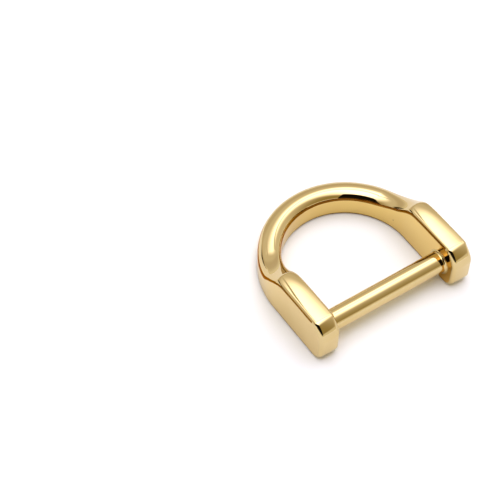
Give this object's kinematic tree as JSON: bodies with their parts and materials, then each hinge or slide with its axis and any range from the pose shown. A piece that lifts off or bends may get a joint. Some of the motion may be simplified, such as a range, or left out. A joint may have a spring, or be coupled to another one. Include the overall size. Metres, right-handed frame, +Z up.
{
  "type": "d ring",
  "caption": "Cast D ring with a domed half-round bow, two tall straight lugs and a round strap bar, for joining a strap to a bag, belt or harness.",
  "frame": {"origin": "centre of the outline as seen from above, on the flat underside", "axes": "+X along the strap bar, +Y from the lug ends towards the bow, +Z up from the flat underside to the domed top"},
  "size_m": [0.0262, 0.0242, 0.0069],
  "materials": {
    "gold_plate": "mirror-polished pale yellow gold plating on a zinc-alloy casting"
  },
  "bodies": {
    "root": {"ring_casting": "gold_plate"}
  },
  "joints": []
}
